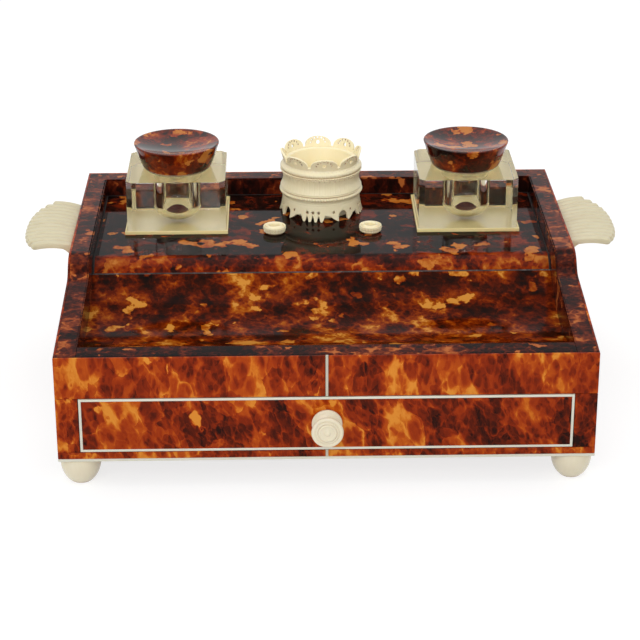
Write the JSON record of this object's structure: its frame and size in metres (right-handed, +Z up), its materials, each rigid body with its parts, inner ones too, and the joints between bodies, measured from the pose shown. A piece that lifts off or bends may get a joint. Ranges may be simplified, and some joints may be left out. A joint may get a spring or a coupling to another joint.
{
  "type": "desk inkstand",
  "caption": "Veneered desk inkstand with scrolled sides, pen tray, drawer, lidded glass ink bottles, pen collars, carved pot, fluted side handles and bun feet.",
  "frame": {"origin": "on the surface that the feet stand on, under the middle of the whole part's box", "axes": "+X to the right along the front, +Y from the drawer front to the back wall, +Z up"},
  "size_m": [0.3148, 0.232, 0.119],
  "materials": {
    "shell_veneer": "polished tortoiseshell",
    "shell_capping": "polished tortoiseshell",
    "deck_shell": "polished dark tortoiseshell",
    "tray_shell": "polished amber tortoiseshell",
    "carcase_wood": "satin",
    "drawer_wood": "satin",
    "ivory": "polished",
    "stringing": "polished",
    "bottle_glass": "polished",
    "lid_shell": "polished tortoiseshell",
    "screw_brass": "satin"
  },
  "bodies": {
    "carcase": {"base_board": "carcase_wood", "base_edging": "stringing", "base_screws": "screw_brass", "foot_front_left": "ivory", "foot_front_right": "ivory", "foot_back_left": "ivory", "foot_back_right": "ivory", "side_core_left": "carcase_wood", "side_core_right": "carcase_wood", "side_veneer_left": "shell_veneer", "side_veneer_right": "shell_veneer", "side_lining_left": "shell_veneer", "side_lining_right": "shell_veneer", "ramp_capping_left": "shell_capping", "ramp_capping_right": "shell_capping", "top_capping_left": "shell_capping", "top_capping_right": "shell_capping", "back_core": "carcase_wood", "back_veneer": "shell_veneer", "back_lining": "shell_veneer", "back_capping": "shell_capping", "front_rail": "carcase_wood", "lip_capping": "shell_capping", "top_rail_veneer": "shell_veneer", "stile_veneer": "shell_veneer", "base_veneer": "shell_veneer", "rail_stringing": "stringing", "pen_tray": "carcase_wood", "tray_veneer": "tray_shell", "deck_board": "carcase_wood", "deck_veneer": "deck_shell", "deck_bearers": "carcase_wood", "dust_board": "carcase_wood", "drawer_stops": "carcase_wood", "handle_left": "ivory", "handle_right": "ivory", "handle_pins": "ivory", "well_tray_left": "ivory", "well_tray_right": "ivory", "pen_collar_left": "ivory", "pen_collar_right": "ivory", "pot_foot": "ivory", "pot_drum": "ivory", "pot_crest": "ivory"},
    "drawer": {"drawer_front": "carcase_wood", "drawer_veneer": "shell_veneer", "drawer_stringing": "stringing", "drawer_side_left": "drawer_wood", "drawer_side_right": "drawer_wood", "drawer_back": "drawer_wood", "drawer_bottom": "drawer_wood", "drawer_knob": "ivory"},
    "bottle_left": {"ink_bottle_left": "bottle_glass"},
    "bottle_right": {"ink_bottle_right": "bottle_glass"},
    "lid_left": {"bottle_lid_left": "lid_shell", "lid_plug_left": "ivory"},
    "lid_right": {"bottle_lid_right": "lid_shell", "lid_plug_right": "ivory"}
  },
  "joints": [
    {"name": "drawer_slide", "type": "slide", "parent": "carcase", "child": "drawer", "axis": [0, -1, 0], "range_m": [0, 0.15]},
    {"name": "bottle_lift_left", "type": "slide", "parent": "carcase", "child": "bottle_left", "axis": [0, 0, 1], "range_m": [0, 0.06]},
    {"name": "bottle_lift_right", "type": "slide", "parent": "carcase", "child": "bottle_right", "axis": [0, 0, 1], "range_m": [0, 0.06]},
    {"name": "lid_lift_left", "type": "slide", "parent": "bottle_left", "child": "lid_left", "axis": [0, 0, 1], "range_m": [0, 0.04]},
    {"name": "lid_lift_right", "type": "slide", "parent": "bottle_right", "child": "lid_right", "axis": [0, 0, 1], "range_m": [0, 0.04]}
  ]
}
